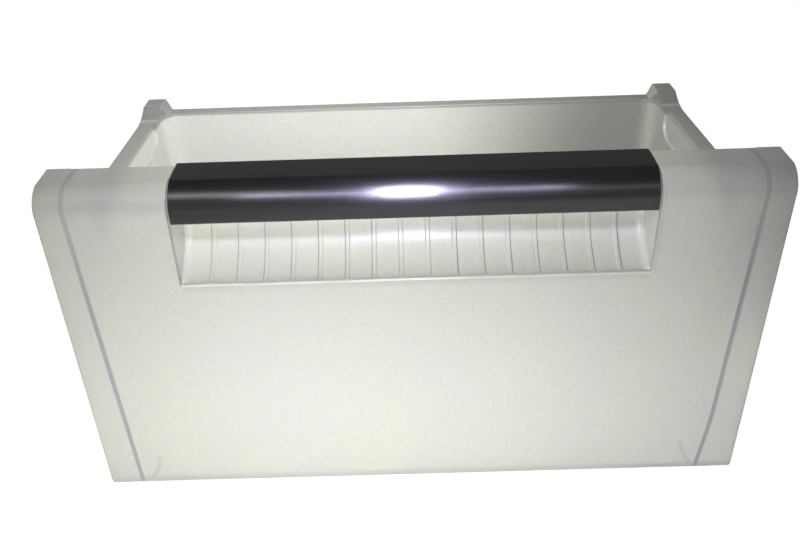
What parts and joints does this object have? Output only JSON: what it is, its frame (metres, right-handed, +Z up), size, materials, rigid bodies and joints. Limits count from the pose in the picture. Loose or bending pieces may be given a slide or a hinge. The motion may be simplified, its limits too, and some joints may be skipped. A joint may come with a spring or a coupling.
{
  "type": "freezer drawer",
  "caption": "Frosted translucent freezer drawer: wide flat front with rounded top, ribbed finger recess under a dark metallic grip strip, and a rimmed tub with raised rear stops.",
  "frame": {"origin": "bottom centre of the whole drawer: middle of its width and depth, on the plane it stands on", "axes": "+X across the front to the viewer's right, +Y from the front towards the back, +Z up"},
  "size_m": [0.49, 0.232, 0.2603],
  "materials": {
    "frosted_plastic": "translucent, softly frosted, greyish white",
    "dark_metallised_plastic": "dark metallised skin, glossy"
  },
  "bodies": {
    "root": {"drawer_tub": "frosted_plastic", "front_panel": "frosted_plastic", "grip_scoop": "frosted_plastic", "grip_bar": "frosted_plastic", "handle_trim": "dark_metallised_plastic"}
  },
  "joints": []
}
